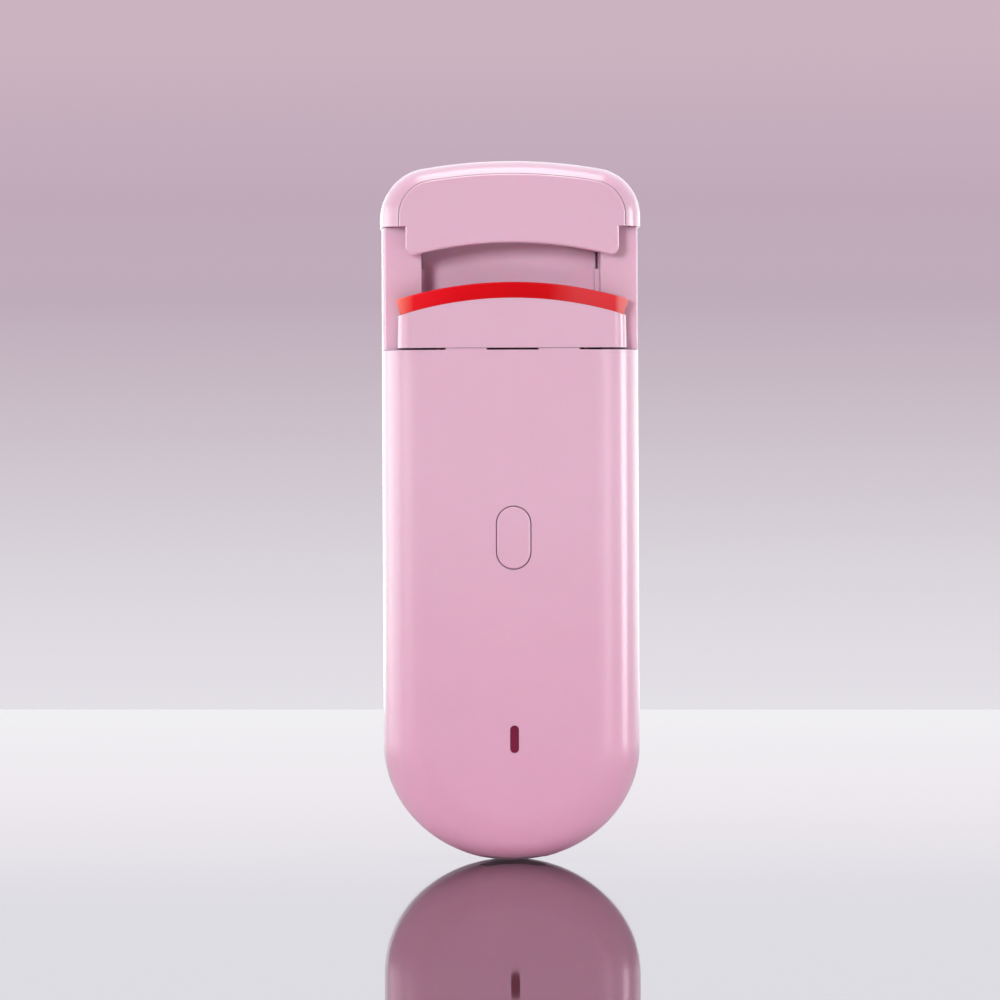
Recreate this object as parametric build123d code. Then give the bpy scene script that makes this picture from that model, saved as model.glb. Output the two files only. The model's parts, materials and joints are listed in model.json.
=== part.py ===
from build123d import *
import os
from math import asin, cos, degrees, radians, sin, sqrt

# Heated eyelash curler, millimetres.
# X is its width, -Y its front, +Z up; the origin is the lowest point of the rounded end.

# ---- Body ----
body_width = 36.0
body_depth = 19.0
end_height = 16.2          # height of the half ellipse that rounds the lower end
front_round = 6.5          # round of the front edges
rear_round = 5.5           # round of the rear edges
wall = 1.6                 # moulded wall of the two shells
parting_y = -1.5           # plane where the front and rear shells meet
cover_top = 72.0           # top of the front cover

# ---- Head: posts, hood and upper jaw ----
hood_bottom = 89.4
overall_height = 98.65
hood_overhang = 0.2        # how far the hood stands outside the body
hood_corner = 6.8          # round of the hood's upper corners
hood_crown = 72.0          # radius of the hood's top
hood_wall = 1.4
hood_front_round = 4.0
hood_frame_gap = 0.3       # air between the hood's inside and the frame
rim_side = 2.2             # width of the rim beside the upper jaw
rim_top = 1.85             # width of the rim above the upper jaw
window_width = 25.3        # clear width between the posts
post_setback = 4.5         # posts' faces behind the body's front face
frame_wall = 1.6
chamber_depth = 7.0        # from the posts' faces to the plate behind the lashes
back_plate_thickness = 1.2
back_plate_gap = 0.35      # shadow gap at each side of that plate
back_ledge = 1.2           # ledge that carries the plate
frame_foot_z = 60.0        # lower end of the frame inside the body
deck_thickness = 1.5       # floor of the chamber
deck_gap = 0.1             # air between the deck and the cover's top wall
deck_lip = 3.0             # deck beyond the legs, in front of the posts' faces
bridge_thickness = 1.5     # bar that joins the posts under the hood
bridge_top = 95.5
jaw_radius = 55.4          # radius of the pad's top, and of both closing edges
closed_gap = 0.25          # left between the jaws when they close, for the lashes
upper_jaw_width = 30.0
upper_jaw_thickness = 2.3
upper_jaw_corner = 1.1
upper_jaw_step = 5.0       # corner round of the jaw's upper outline
seam = 0.05                # visible seam between fixed mouldings
edge_soft = 0.35           # small softened edges

# ---- Lower jaw ----
travel = 5.3               # stroke that closes the jaws
pad_top_z = 81.55
pad_thickness = 2.25
pad_width = 32.9
jaw_setback = 0.2          # lower jaw's face behind the body's front face
jaw_post_gap = 0.3         # air between the lower jaw and the posts' faces
lower_jaw_width_bottom = 32.3
lower_jaw_width_top = 31.9
lower_jaw_corner = 2.0
jaw_gap = 0.3              # gap between the lower jaw and the front cover
jaw_side_wall = 1.8
rest_height = 0.25         # two rests on the cover's top edge
heater_slot_width = 27.2
heater_slot_depth = 2.0    # front to back
pad_rib = 0.5              # rib that keys the pad into the slot
heating_plate_bottom = 76.9
ptc_width = 16.0
ptc_height = 1.3
insulator_height = 0.6
lead_radius = 0.4
lead_bend = 1.2
lead_gap = 0.2             # air between the front cover's wall and the heater's leads
thermistor_width = 1.6
thermistor_height = 1.0
thermistor_offset = 4.0    # from the heater's end to the thermistor

# ---- Carriage that carries the lower jaw ----
leg_width = 5.8
leg_offset = 6.55          # middle of each leg from the middle plane
leg_thickness = 2.0
leg_gap = 0.4              # air between the front cover's wall and the legs
leg_foot_z = 52.5
foot_height = 5.5          # thick foot of each leg, around the crank pin
foot_depth = 3.5
guide_gap = 0.15           # clearance of the carriage between the posts
guide_rib = 0.8            # depth of each guide rib
guide_rib_width = 2.1
guide_arm = 0.45           # thickness of each guide arm
guide_arm_top = 83.6
guide_depth = 3.4          # from the back plate's face to the guides' front edge
slot_gap = 0.2             # clearance around the legs
carriage_wall = 1.3
carriage_base = 2.0

# ---- Press lever ----
lever_sink = 0.3           # pressed lever's face below the rear shell's
crank_gap = 0.2            # least air between the crank's end and the front cover's wall
crank_pin_z = 54.5         # crank pin with the jaws open
crank_pin_radius = 0.8
crank_eye = 1.8            # radius of the crank's end around its pin
crank_half_width = 2.9
axle_radius = 1.0
hub_radius = 3.6
lever_width = 15.0
lever_length = 24.0        # from the pivot to the finger end
lever_thickness = 2.4
lever_end_corner = 5.0
lever_gap = 0.3            # clearance of the lever in its well
well_depth = 4.1           # of the well under the finger end
well_deep_depth = 8.1      # of the deeper upper part of the well
well_step_z = 45.0         # where the well deepens, above the cell
well_wall = 1.2
skirt_thickness = 1.4      # side skirts that stiffen the lever
skirt_low_z = 43.5         # where the skirts run out into the panel
skirt_root = 2.8           # how far the skirts reach forward of the axle
running_gap = 0.05         # radial clearance of a turning pin
grip_width = 9.0
grip_height = 12.0
grip_depth = 0.6
grip_margin = 2.2          # from the lever's finger end to the grip

# ---- Return spring ----
spring_radius = 1.45       # mean radius of the coil
spring_wire = 0.35
spring_turns = 7
spring_gap = 0.175         # air between the front cover's wall and the coil
spring_seat = 1.5          # bar between the legs
spring_seat_top = 59.2

# ---- Power button, switch and light ----
button_width = 5.0
button_height = 9.0
button_z = 45.6
button_proud = 0.1
button_gap = 0.1
button_flange = 0.7
button_flange_thickness = 0.6
button_flange_gap = 0.05
button_travel = 0.4
switch_size = 4.5
plunger_radius = 1.0
plunger_gap = 0.05
light_width = 1.25
light_height = 3.9
light_z = 17.3
light_recess = 0.15
led_height = 0.6

# ---- Board, battery and charging port ----
pcb_setback = 4.1          # board behind the body's front face
pcb_thickness = 1.0
pcb_width = 22.0
pcb_bottom = 8.2
pcb_top = 51.0
pcb_corner = 3.0
chassis_thickness = 1.0
chassis_width = 22.2
chassis_bottom = 12.0
chassis_corner = 2.0
chassis_gap = 1.2          # room for the chips between board and chassis
chip_height = 1.0
CHIPS = (                  # middle in X and Z, width and height of each chip
    (-4.0, 20.0, 4.0, 4.0),
    (4.5, 21.0, 3.0, 3.0),
    (-3.0, 32.0, 5.0, 5.0),
    (5.0, 33.0, 3.0, 4.0),
)
battery_width = 20.0
battery_bottom = 9.5
battery_top = 39.0
battery_thickness = 5.5
foam_thickness = 0.7
tray_rail = 0.8
tray_depth = 3.0           # how far the rails reach beside the cell
tray_gap = 0.1
rail_break = 4.0           # break in each rail beside the lower board screws
lead_spread = 3.0          # between the cell's two leads
lead_turn = 3.5            # from the cell's top to the leads' turn
lead_hole_width = 8.0      # hole in the chassis for the leads
lead_hole_height = 5.0
port_setback = 6.1         # port's middle behind the body's front face
port_width = 8.94
port_height = 3.26
port_length = 7.35
port_shell = 0.3
port_corner = 1.25
port_gap = 0.2
tongue_base = 1.2          # height of the tongue's thick root
tongue_step = 0.7          # how much thicker the root is on each face

# ---- Screws ----
case_screw_x = 13.4
case_screw_low_z = 22.0
case_screw_high_z = 63.5
case_boss = 2.2
screw_radius = 0.8
screw_head_radius = 1.5
screw_head_height = 1.0
screw_gap = 0.1
case_screw_bite = 0.9      # of the case screws' tips past the shells' parting
case_head_depth = 1.9      # seat of the case screws' heads below the rear face
frame_boss_length = 6.0    # frame's bosses, from the posts' faces to the rear shell's bosses
board_screw_x = 9.3
board_screw_zs = (26.5, 48.5)
board_boss = 1.7
board_screw_radius = 0.6
board_screw_length = 5.0
jaw_screw_x = 15.45
jaw_screw_z = 91.5
jaw_screw_length = 3.4
jaw_screw_radius = 0.5
jaw_boss = 1.3

# ---- Worked out from the sizes above ----
FRONT = -body_depth / 2
REAR = body_depth / 2
half_window = window_width / 2
post_front_y = FRONT + post_setback
chamber_back_y = post_front_y + chamber_depth
upper_jaw_front_y = FRONT
upper_edge_z = pad_top_z + travel + closed_gap
jaw_front_y = FRONT + jaw_setback
leg_front_y = FRONT + wall + leg_gap
foot_rear_y = leg_front_y + foot_depth
guide_front_y = chamber_back_y - guide_depth
pivot_y = REAR - lever_sink - hub_radius
well_floor_y = REAR - well_depth
well_deep_y = REAR - well_deep_depth
skirt_root_y = pivot_y - skirt_root
spring_y = FRONT + wall + spring_gap + spring_wire / 2 + spring_radius
pcb_front_y = FRONT + pcb_setback
port_y = FRONT + port_setback
case_head_y = REAR - case_head_depth
case_screw_length = case_head_y - parting_y + case_screw_bite
frame_boss_y = post_front_y + frame_boss_length
deck_top = cover_top - wall - deck_gap
frame_back_y = chamber_back_y + back_plate_thickness + back_ledge
hood_half = body_width / 2 + hood_overhang
hood_front_y = FRONT - hood_overhang
frame_shoulder = hood_bottom - seam
jaw_rear_y = post_front_y - jaw_post_gap
jaw_bottom = cover_top + jaw_gap
pad_bottom_z = pad_top_z - pad_thickness
upper_jaw_rear_y = upper_jaw_front_y + upper_jaw_thickness
heater_y = FRONT + wall + lead_gap + lead_radius
slot_front_y = heater_y - heater_slot_depth / 2
slot_rear_y = heater_y + heater_slot_depth / 2
ptc_bottom = heating_plate_bottom - ptc_height
tongue_top = ptc_bottom - insulator_height
carriage_half = half_window - guide_gap
leg_inner = leg_offset - leg_width / 2
leg_outer = leg_offset + leg_width / 2
crank_mid_y = FRONT + wall + crank_gap + crank_eye
crank_length = pivot_y - crank_mid_y
crank_angle = degrees(asin(travel / 2 / crank_length))
pivot_z = crank_pin_z + travel / 2
crank_rest_y = pivot_y - crank_length * cos(radians(crank_angle))
lever_outer_y = pivot_y + hub_radius
lever_end_z = pivot_z - lever_length
well_half = lever_width / 2 + lever_gap
well_top = pivot_z + hub_radius + lever_gap
well_bottom = lever_end_z - lever_gap
pcb_rear_y = pcb_front_y + pcb_thickness
chassis_front_y = pcb_rear_y + chassis_gap
chassis_rear_y = chassis_front_y + chassis_thickness
battery_front_y = chassis_rear_y + foam_thickness
button_rear_y = FRONT + wall + button_flange_gap + button_flange_thickness
switch_front_y = button_rear_y + button_travel + button_flange_gap * 5
SIDES = (-1, 1)


def block(xs, ys, zs):
    """A box between pairs of coordinates."""
    size = (xs[1] - xs[0], ys[1] - ys[0], zs[1] - zs[0])
    middle = ((xs[0] + xs[1]) / 2, (ys[0] + ys[1]) / 2, (zs[0] + zs[1]) / 2)
    return Pos(*middle) * Box(*size)


def pair(xs, ys, zs):
    """A box and its mirror image on the other side of the middle plane."""
    return block(xs, ys, zs) + block((-xs[1], -xs[0]), ys, zs)


def prism(outline, y0, y1):
    """An outline drawn in X and Z, extruded from y0 to y1."""
    return extrude(Plane.XZ.offset(-y1) * outline, amount=y1 - y0)


def rod_x(radius, x0, x1, y, z):
    return Pos((x0 + x1) / 2, y, z) * Rot(0, 90, 0) * Cylinder(radius, x1 - x0)


def rod_y(radius, y0, y1, x, z):
    return Pos(x, (y0 + y1) / 2, z) * Rot(90, 0, 0) * Cylinder(radius, y1 - y0)


def rod_z(radius, z0, z1, x, y):
    return Pos(x, y, (z0 + z1) / 2) * Cylinder(radius, z1 - z0)


def stadium(width, height, y0, y1, z):
    """An upright stadium on the middle plane, extruded from y0 to y1."""
    return prism(Pos(0, z) * SlotOverall(height, width, rotation=90), y0, y1)


def lead(points, bend):
    """A wire along straight runs joined by arcs."""
    route = FilletPolyline(*points, radius=bend)
    section = Plane(route @ 0, z_dir=route % 0) * Circle(lead_radius)
    return sweep(section, path=route)


# ---- Outlines and blanks ----

def body_outline(inset, top):
    """Straight sides over a half ellipse, each moved in by inset."""
    half = body_width / 2 - inset
    with BuildSketch() as sketch:
        with BuildLine():
            EllipticalCenterArc((0, end_height), half, end_height - inset, 180, arc_size=180)
            Polyline((half, end_height), (half, top), (-half, top), (-half, end_height))
        make_face()
    return sketch.sketch


def body_blank(inset, top):
    """The body's outer form moved in by inset, cut level at top."""
    over = top + body_width
    blank = prism(body_outline(inset, over), FRONT + inset, REAR - inset)
    front_edges = blank.faces().sort_by(Axis.Y)[0].edges().sort_by(Axis.Z)[:-1]
    blank = fillet(front_edges, front_round - inset)
    rear_edges = blank.faces().sort_by(Axis.Y)[-1].edges().sort_by(Axis.Z)[:-1]
    blank = fillet(rear_edges, rear_round - inset)
    return blank & block((-body_width, body_width), (2 * FRONT, 2 * REAR), (-1, top))


def arched_outline(half, top, corner, crown, bottom):
    """Straight sides, round corners and a gently crowned top, all tangent."""
    corner_x = half - corner
    crown_z = top - crown
    corner_z = crown_z + sqrt((crown - corner) ** 2 - corner_x ** 2)
    touch = crown / (crown - corner)
    touch_x = corner_x * touch
    touch_z = crown_z + (corner_z - crown_z) * touch
    side = degrees(asin((touch_z - corner_z) / corner))
    with BuildSketch() as sketch:
        with BuildLine():
            Line((-half, bottom), (half, bottom))
            Line((half, bottom), (half, corner_z))
            CenterArc((corner_x, corner_z), corner, 0, side)
            ThreePointArc((touch_x, touch_z), (0, top), (-touch_x, touch_z))
            CenterArc((-corner_x, corner_z), corner, 180 - side, side)
            Line((-half, corner_z), (-half, bottom))
        make_face()
    return sketch.sketch


def hood_blank(inset, bottom):
    """The hood's outer form moved in by inset."""
    outline = arched_outline(hood_half - inset, overall_height - inset, hood_corner - inset,
                             hood_crown - inset, bottom)
    blank = prism(outline, hood_front_y + inset, -hood_front_y - inset)
    front_edges = blank.faces().sort_by(Axis.Y)[0].edges().sort_by(Axis.Z)[1:]
    blank = fillet(front_edges, hood_front_round - inset)
    rear_edges = blank.faces().sort_by(Axis.Y)[-1].edges().sort_by(Axis.Z)[1:]
    return fillet(rear_edges, rear_round + hood_overhang - inset)


def jaw_plate_outline(grow, bottom):
    """The upper jaw's outline inside the hood's rim."""
    return arched_outline(hood_half - rim_side + grow, overall_height - rim_top + grow,
                          upper_jaw_step + grow, hood_crown - rim_top + grow, bottom)


def below_arc(half, arc_z, radius, bottom):
    """A region under a crowned arc whose highest point is arc_z."""
    side_z = arc_z - radius + sqrt(radius ** 2 - half ** 2)
    with BuildSketch() as sketch:
        with BuildLine():
            ThreePointArc((-half, side_z), (0, arc_z), (half, side_z))
            Polyline((half, side_z), (half, bottom), (-half, bottom), (-half, side_z))
        make_face()
    return sketch.sketch


# ---- Fixed mouldings ----

def front_cover():
    outer = body_blank(0, cover_top)
    cavity = body_blank(wall, cover_top - wall)
    behind_posts = block((-body_width, body_width), (post_front_y - deck_gap, REAR), (0, 2 * cover_top))
    open_top = body_blank(wall, cover_top + 1) & behind_posts
    cover = outer - cavity - open_top
    for side in SIDES:
        for z in board_screw_zs:
            cover += rod_y(board_boss, FRONT + wall / 2, pcb_front_y, side * board_screw_x, z)
        boss = rod_y(case_boss, FRONT, parting_y, side * case_screw_x, case_screw_low_z)
        cover += boss & body_blank(wall / 2, cover_top)
    for side in SIDES:
        for z in board_screw_zs:
            cover -= rod_y(board_screw_radius, FRONT + wall, pcb_front_y, side * board_screw_x, z)
        cover -= rod_y(screw_radius, case_head_y - case_screw_length, parting_y,
                       side * case_screw_x, case_screw_low_z)
    cover -= pair((leg_inner - slot_gap, leg_outer + 4 * lead_radius),
                  (leg_front_y - slot_gap, 0), (deck_top, cover_top + 1))
    cover -= stadium(button_width, button_height, FRONT - 1, FRONT + 2 * wall, button_z)
    cover -= stadium(light_width, light_height, FRONT - 1, FRONT + 2 * wall, light_z)
    cover -= Pos(0, port_y) * extrude(
        SlotOverall(port_width + 2 * port_gap, port_height + 2 * port_gap), amount=2 * wall, both=True)
    cover = cover & block((-body_width, body_width), (2 * FRONT, parting_y), (-1, cover_top))
    rests = pair((leg_inner, leg_outer), (jaw_front_y, slot_front_y),
                 (cover_top - wall / 2, cover_top + rest_height))
    return cover + rests


def rear_shell():
    shell = body_blank(0, frame_shoulder) - body_blank(wall, frame_shoulder + 1)
    inside = body_blank(wall / 2, frame_shoulder)
    block_half = well_half + well_wall
    well_block = block((-block_half, block_half), (well_floor_y - well_wall, REAR),
                       (well_bottom - well_wall, well_top + well_wall))
    well_block += block((-block_half, block_half), (well_deep_y - well_wall, REAR),
                        (well_step_z - well_wall, well_top + well_wall))
    shell += well_block & inside
    for side in SIDES:
        outer_x = side * (well_half + 2 * well_wall)
        ends = sorted((side * well_half, outer_x))
        shell += rod_x(axle_radius + well_wall, ends[0], ends[1], pivot_y, pivot_z) & inside
        low = rod_y(case_boss, parting_y, REAR, side * case_screw_x, case_screw_low_z)
        high = rod_y(case_boss, frame_boss_y, REAR, side * case_screw_x, case_screw_high_z)
        shell += (low + high) & inside
    mouth = block((-well_half, well_half), (well_floor_y, 2 * REAR), (well_bottom, well_top))
    shell -= fillet(mouth.edges().filter_by(Axis.Y).sort_by(Axis.Z)[:2], lever_end_corner + lever_gap)
    shell -= block((-well_half, well_half), (well_deep_y, 2 * REAR), (well_step_z, well_top))
    shell -= block((-well_half, well_half), (0, 2 * REAR), (pivot_z - hub_radius - lever_gap, well_top))
    shell -= rod_x(axle_radius, -well_half - 2 * well_wall, well_half + 2 * well_wall, pivot_y, pivot_z)
    for side in SIDES:
        for z in (case_screw_low_z, case_screw_high_z):
            shell -= rod_y(screw_radius + screw_gap, 2 * FRONT, REAR, side * case_screw_x, z)
            shell -= rod_y(screw_head_radius + screw_gap, case_head_y, 2 * REAR, side * case_screw_x, z)
    return shell & block((-body_width, body_width), (parting_y, 2 * REAR), (-1, frame_shoulder))


def head_frame():
    above_cover = (cover_top + seam, frame_shoulder)
    outer = body_blank(0, frame_shoulder)
    skin = outer - body_blank(wall, frame_shoulder + 1)
    skin &= block((-body_width, body_width), (post_front_y, parting_y), above_cover)
    faces = outer & block((-body_width, body_width), (post_front_y, post_front_y + frame_wall),
                          above_cover)
    frame = skin + faces
    frame -= block((-half_window, half_window), (2 * FRONT, REAR), above_cover)
    frame += pair((half_window, half_window + frame_wall), (post_front_y, frame_back_y),
                  (frame_foot_z, frame_shoulder))
    head = pair((half_window, half_window + frame_wall), (post_front_y, frame_back_y),
                (frame_shoulder, bridge_top))
    head += pair((half_window, hood_half), (post_front_y, post_front_y + frame_wall),
                 (frame_shoulder, bridge_top))
    head += block((-hood_half, hood_half), (post_front_y, frame_back_y),
                  (bridge_top - bridge_thickness, bridge_top))
    frame += head & hood_blank(hood_wall + hood_frame_gap, 0)
    frame += pair((half_window - back_ledge, half_window + frame_wall),
                  (frame_back_y - back_ledge, frame_back_y), (deck_top, bridge_top - bridge_thickness))
    frame += block((-half_window, half_window), (post_front_y, frame_back_y),
                   (deck_top - deck_thickness, deck_top))
    lip = leg_outer + deck_lip
    frame += block((-lip, lip), (leg_front_y - slot_gap, post_front_y),
                   (deck_top - deck_thickness, deck_top))
    for side in SIDES:
        frame += rod_y(case_boss, post_front_y, frame_boss_y, side * case_screw_x, case_screw_high_z)
    frame -= pair((half_window - 1, body_width), (frame_boss_y, REAR),
                  (frame_foot_z - 1, case_screw_high_z + case_boss + 1))
    frame -= pair((leg_inner - slot_gap, leg_outer + 4 * lead_radius),
                  (leg_front_y - slot_gap, foot_rear_y),
                  (deck_top - 2 * deck_thickness, deck_top + 1))
    groove = guide_rib + guide_gap
    frame -= pair((half_window - 1, half_window + groove),
                  (guide_front_y - guide_gap, guide_front_y + guide_rib_width + guide_gap),
                  (deck_top, guide_arm_top + travel + guide_gap))
    for side in SIDES:
        frame -= rod_y(screw_radius, case_head_y - case_screw_length, REAR,
                       side * case_screw_x, case_screw_high_z)
        frame -= rod_y(jaw_screw_radius + screw_gap, 2 * FRONT, REAR, side * jaw_screw_x, jaw_screw_z)
    frame -= rod_z(spring_radius - spring_wire, deck_top - 2 * deck_thickness, deck_top + 1,
                   0, spring_y)
    return frame


def upper_hood():
    hood = hood_blank(0, hood_bottom) - hood_blank(hood_wall, hood_bottom - hood_wall)
    hood -= prism(jaw_plate_outline(0, hood_bottom - 1), 2 * FRONT, upper_jaw_rear_y)
    rib = block((-half_window / 2, half_window / 2), (post_front_y, -post_front_y),
                (bridge_top, overall_height - hood_wall / 2))
    return hood + (rib & hood_blank(hood_wall / 2, hood_bottom))


def upper_jaw():
    face = prism(jaw_plate_outline(-seam, hood_bottom), upper_jaw_front_y, upper_jaw_rear_y)
    front_edges = face.faces().sort_by(Axis.Y)[0].edges().sort_by(Axis.Z)[1:]
    face = fillet(front_edges, edge_soft)
    half = upper_jaw_width / 2
    lower = block((-half, half), (upper_jaw_front_y, upper_jaw_rear_y),
                  (upper_edge_z - jaw_radius / 4, hood_bottom))
    lower -= prism(below_arc(body_width / 2, upper_edge_z, jaw_radius, 0), 2 * FRONT, REAR)
    corners = lower.edges().filter_by(Axis.Y).sort_by(Axis.Z)[:2]
    lower = fillet(corners, upper_jaw_corner)
    rim = lower.faces().sort_by(Axis.Y)[0].edges().sort_by(Axis.Z)[:-1]
    lower = fillet(rim, edge_soft)
    jaw = face + lower
    inside = hood_blank(hood_wall + seam, hood_bottom)
    for side in SIDES:
        jaw += rod_y(jaw_boss, upper_jaw_rear_y, post_front_y, side * jaw_screw_x, jaw_screw_z) & inside
    for side in SIDES:
        jaw -= rod_y(jaw_screw_radius, post_front_y + frame_wall - jaw_screw_length, post_front_y,
                     side * jaw_screw_x, jaw_screw_z)
    return jaw


def window_back_plate():
    half = half_window - back_plate_gap
    return block((-half, half), (chamber_back_y, chamber_back_y + back_plate_thickness),
                 (deck_top, bridge_top - bridge_thickness))


def inner_chassis():
    outline = Pos(0, (chassis_bottom + pcb_top) / 2) * RectangleRounded(
        chassis_width, pcb_top - chassis_bottom, chassis_corner)
    chassis = prism(outline, chassis_front_y, chassis_rear_y)
    rail = battery_width / 2 + tray_gap
    chassis += pair((rail, rail + tray_rail),
                    (chassis_rear_y - chassis_thickness / 2, battery_front_y + tray_depth),
                    (chassis_bottom + 2 * chassis_corner, battery_top))
    for side in SIDES:
        for z in board_screw_zs:
            chassis += rod_y(board_boss, pcb_rear_y, chassis_rear_y, side * board_screw_x, z)
    chassis -= pair((rail - tray_rail, rail + 2 * tray_rail), (chassis_rear_y, REAR),
                    (board_screw_zs[0] - rail_break / 2, board_screw_zs[0] + rail_break / 2))
    for side in SIDES:
        for z in board_screw_zs:
            chassis -= rod_y(board_screw_radius + screw_gap, 2 * FRONT, REAR, side * board_screw_x, z)
    lead_z = battery_top + lead_turn
    chassis -= block((-lead_hole_width / 2, lead_hole_width / 2), (2 * FRONT, REAR),
                     (lead_z - lead_hole_height / 2, lead_z + lead_hole_height / 2))
    return chassis


# ---- Electronics ----

def main_pcb():
    outline = Pos(0, (pcb_bottom + pcb_top) / 2) * RectangleRounded(
        pcb_width, pcb_top - pcb_bottom, pcb_corner)
    board = prism(outline, pcb_front_y, pcb_rear_y)
    for side in SIDES:
        for z in board_screw_zs:
            board -= rod_y(board_screw_radius + screw_gap, 2 * FRONT, REAR, side * board_screw_x, z)
    return board


def control_chips():
    """Charger, controller and two small drivers on the back of the board."""
    chips = []
    for x, z, width, height in CHIPS:
        chips.append(block((x - width / 2, x + width / 2), (pcb_rear_y, pcb_rear_y + chip_height),
                           (z - height / 2, z + height / 2)))
    return Compound(children=chips)


def tact_switch():
    half = switch_size / 2
    body = block((-half, half), (switch_front_y, pcb_front_y), (button_z - half, button_z + half))
    bore_end = switch_front_y + 2 * button_travel
    return body - rod_y(plunger_radius + plunger_gap, switch_front_y - 1, bore_end, 0, button_z)


def switch_plunger():
    return rod_y(plunger_radius, button_rear_y, switch_front_y + button_travel / 2, 0, button_z)


def power_button():
    cap = stadium(button_width - 2 * button_gap, button_height - 2 * button_gap,
                  FRONT - button_proud, button_rear_y, button_z)
    rim = cap.faces().sort_by(Axis.Y)[0].edges()
    cap = fillet(rim, edge_soft)
    flange = stadium(button_width + 2 * button_flange, button_height + 2 * button_flange,
                     button_rear_y - button_flange_thickness, button_rear_y, button_z)
    return cap + flange


def led_light_pipe():
    return stadium(light_width - 2 * running_gap, light_height - 2 * running_gap,
                   FRONT + light_recess, pcb_front_y - led_height, light_z)


def led_chip():
    return block((-light_width / 2, light_width / 2), (pcb_front_y - led_height, pcb_front_y),
                 (light_z - light_width, light_z + light_width))


def usb_c_shell():
    outer = RectangleRounded(port_width, port_height, port_corner)
    inner = RectangleRounded(port_width - 2 * port_shell, port_height - 2 * port_shell,
                             port_corner - port_shell)
    tube = extrude(outer - inner, amount=port_length)
    back = extrude(outer, amount=port_shell)
    start = pcb_bottom - port_length
    return Pos(0, port_y, start) * tube + Pos(0, port_y, pcb_bottom - port_shell) * back


def usb_c_tongue():
    half = port_width / 2 - 3 * port_shell
    tip = pcb_bottom - port_length + 2 * port_shell
    root = pcb_bottom - port_shell
    blade = block((-half, half), (port_y - port_shell, port_y + port_shell), (tip, root))
    base = block((-half, half), (port_y - port_shell - tongue_step, port_y + port_shell + tongue_step),
                 (root - tongue_base, root))
    return blade + base


def battery_cell():
    cell = block((-battery_width / 2, battery_width / 2),
                 (battery_front_y, battery_front_y + battery_thickness),
                 (battery_bottom, battery_top))
    return fillet(cell.edges().filter_by(Axis.Z), battery_thickness / 4)


def battery_foam():
    inset = battery_width / 10
    return block((-battery_width / 2 + inset, battery_width / 2 - inset),
                 (chassis_rear_y, battery_front_y),
                 (chassis_bottom + inset, battery_top - inset))


def battery_leads():
    """Two leads from the top of the cell, through the chassis, to the board."""
    wires = []
    middle_y = battery_front_y + battery_thickness / 2
    turn_z = battery_top + lead_turn
    for side in SIDES:
        x = side * lead_spread / 2
        points = ((x, middle_y, battery_top), (x, middle_y, turn_z), (x, pcb_rear_y, turn_z))
        wires.append(lead(points, lead_bend))
    return Compound(children=wires)


# ---- Lower jaw ----

def lower_jaw():
    low = lower_jaw_width_bottom / 2
    high = lower_jaw_width_top / 2
    sides = Polyline((-low, jaw_bottom), (low, jaw_bottom), (high, pad_top_z), (-high, pad_top_z),
                     close=True)
    jaw = prism(make_face(sides), jaw_front_y, jaw_rear_y)
    jaw &= prism(below_arc(body_width / 2, pad_bottom_z, jaw_radius - pad_thickness, 0),
                 jaw_front_y, jaw_rear_y)
    front = jaw.faces().sort_by(Axis.Y)[0].edges().sort_by(Axis.X)
    jaw = fillet((front[0], front[-1]), lower_jaw_corner)
    cavity = (low - jaw_side_wall) - (low - high)
    jaw -= block((-cavity, cavity), (slot_front_y, REAR), (0, heating_plate_bottom))
    half_slot = heater_slot_width / 2
    jaw -= block((-half_slot, half_slot), (slot_front_y, slot_rear_y), (jaw_bottom, pad_top_z))
    return jaw


def pad_outline(top_z, radius, depth, half):
    """A band of even thickness that follows the jaws' curve, with square ends."""
    angle = degrees(asin(half / radius))
    low = radius - depth
    centre_z = top_z - radius
    with BuildSketch() as sketch:
        with BuildLine():
            outer = CenterArc((0, centre_z), radius, 90 - angle, 2 * angle)
            inner = CenterArc((0, centre_z), low, 90 - angle, 2 * angle)
            Line(outer @ 0, inner @ 0)
            Line(outer @ 1, inner @ 1)
        make_face()
    return sketch.sketch


def silicone_pad():
    pad = prism(pad_outline(pad_top_z, jaw_radius, pad_thickness, pad_width / 2),
                jaw_front_y, jaw_rear_y)
    ends = pad.edges().filter_by(GeomType.LINE)
    front = ends.sort_by(Axis.Y)[:2]
    pad = fillet(front, lower_jaw_corner / 2)
    top = pad.faces().filter_by(GeomType.CYLINDER).sort_by(Axis.Z)[-1]
    pad = fillet(top.edges(), edge_soft)
    half = heater_slot_width / 2 - seam
    rib_radius = jaw_radius - pad_thickness + pad_rib
    rib = prism(pad_outline(pad_bottom_z + pad_rib, rib_radius, 2 * pad_rib, half),
                slot_front_y + seam, slot_rear_y - seam)
    return pad + rib


def heating_plate():
    half = heater_slot_width / 2 - seam
    plate = prism(below_arc(half, pad_bottom_z - pad_rib, jaw_radius - pad_thickness - pad_rib,
                            heating_plate_bottom), slot_front_y + seam, slot_rear_y - seam)
    return plate


def ptc_heater():
    half = ptc_width / 2
    return block((-half, half), (slot_front_y + seam, slot_rear_y - seam),
                 (ptc_bottom, heating_plate_bottom))


def heater_insulator():
    half = ptc_width / 2
    return block((-half, half), (leg_front_y, slot_rear_y), (tongue_top, ptc_bottom))


def thermistor():
    x = ptc_width / 2 + thermistor_offset
    half = thermistor_width / 2
    depth = thermistor_height / 2
    return block((x - half, x + half), (heater_y - depth, heater_y + depth),
                 (heating_plate_bottom - thermistor_height, heating_plate_bottom))


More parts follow.
